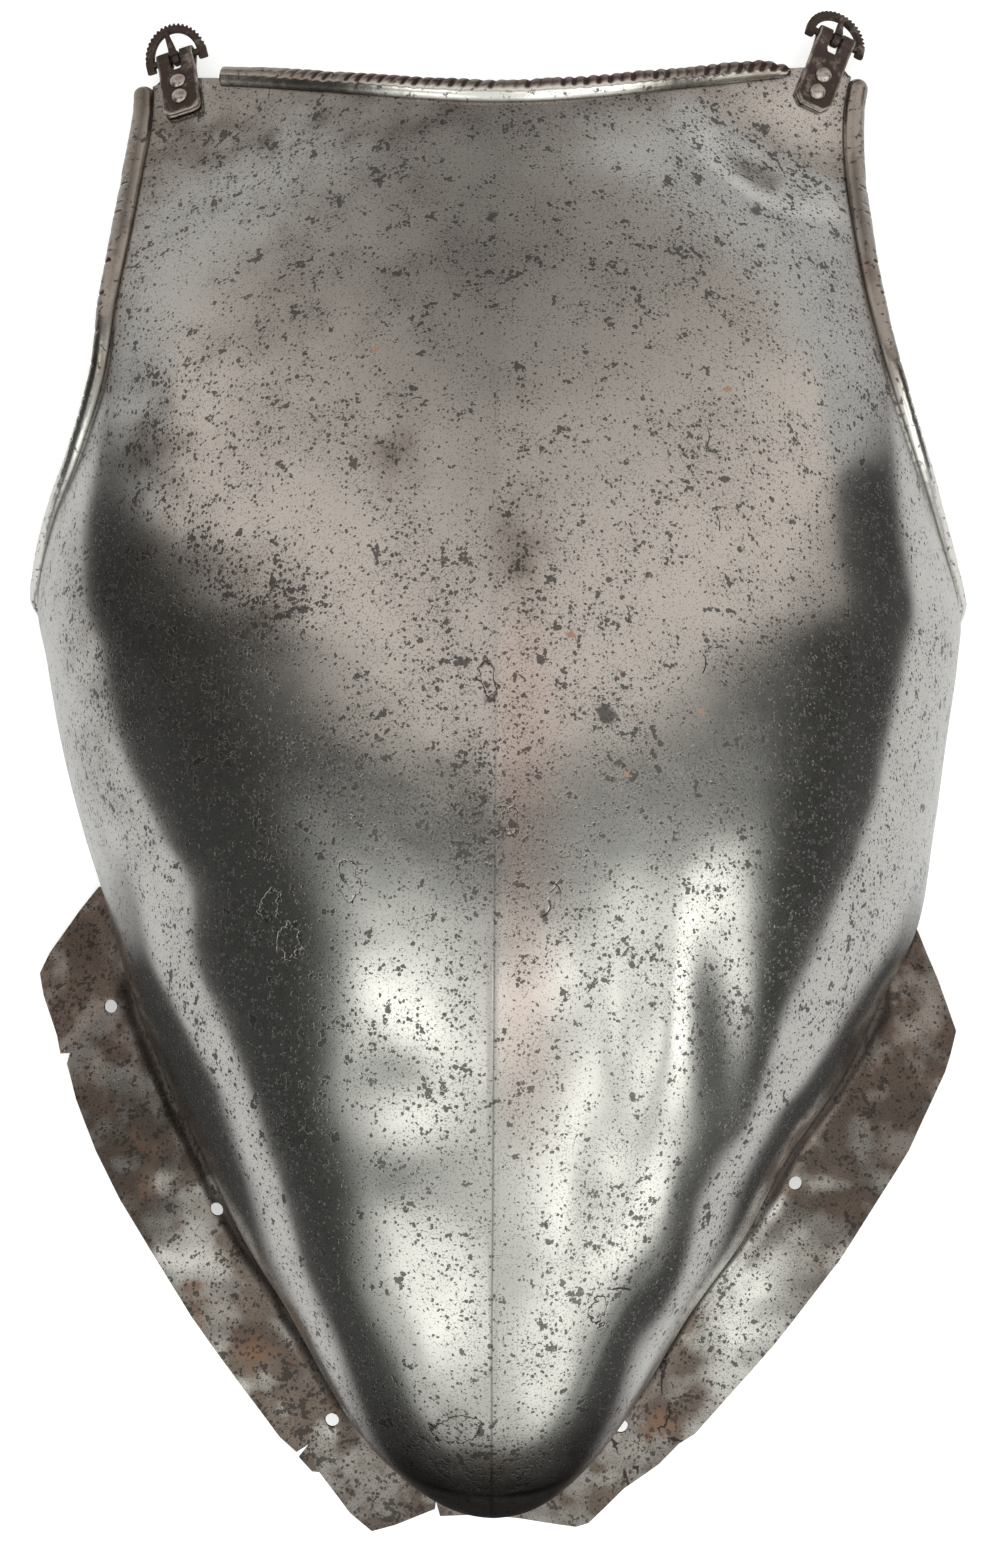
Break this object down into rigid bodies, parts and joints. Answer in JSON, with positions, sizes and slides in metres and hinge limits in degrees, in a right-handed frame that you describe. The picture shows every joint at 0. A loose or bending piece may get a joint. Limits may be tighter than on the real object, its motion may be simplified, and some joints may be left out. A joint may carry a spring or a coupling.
{
  "type": "steel cuirass breastplate",
  "caption": "Pointed, medially ridged steel breastplate with turned and notched neck and arm edges, a pierced waist flange and riveted shoulder strap buckles.",
  "frame": {"origin": "middle of the footprint, on the surface that the breastplate lies on", "axes": "+X to the right as seen from the front, +Y from the waist to the neck, +Z out of the front, away from the surface"},
  "size_m": [0.317, 0.5003, 0.1617],
  "materials": {
    "plate_steel": "worn polished steel with a speckled, pitted brown-grey patina",
    "buckle_iron": "dark brown forged iron, worn bright at the edges",
    "rivet_steel": "dull filed steel heads, lighter on their crowns"
  },
  "bodies": {
    "root": {"breastplate": "plate_steel", "buckle_plate_left": "buckle_iron", "rivet_left_upper": "rivet_steel", "rivet_left_lower": "rivet_steel", "buckle_plate_right": "buckle_iron", "rivet_right_upper": "rivet_steel", "rivet_right_lower": "rivet_steel"},
    "frame_left": {"buckle_frame_left": "buckle_iron"},
    "tongue_left": {"buckle_tongue_left": "buckle_iron"},
    "frame_right": {"buckle_frame_right": "buckle_iron"},
    "tongue_right": {"buckle_tongue_right": "buckle_iron"}
  },
  "joints": [
    {"name": "buckle_frame_left_hinge", "type": "hinge", "parent": "root", "child": "frame_left", "pos_m": [-0.10748, 0.23296, 0.02282], "axis": [0.9426, 0.2603, 0.2092], "range_deg": [0, 60]},
    {"name": "buckle_tongue_left_hinge", "type": "hinge", "parent": "frame_left", "child": "tongue_left", "pos_m": [-0.10748, 0.23296, 0.02282], "axis": [0.9426, 0.2603, 0.2092], "range_deg": [0, 45]},
    {"name": "buckle_frame_right_hinge", "type": "hinge", "parent": "root", "child": "frame_right", "pos_m": [0.11251, 0.23892, 0.02348], "axis": [0.904, -0.38, -0.1961], "range_deg": [0, 100]},
    {"name": "buckle_tongue_right_hinge", "type": "hinge", "parent": "frame_right", "child": "tongue_right", "pos_m": [0.11251, 0.23892, 0.02348], "axis": [0.904, -0.38, -0.1961], "range_deg": [0, 45]}
  ]
}
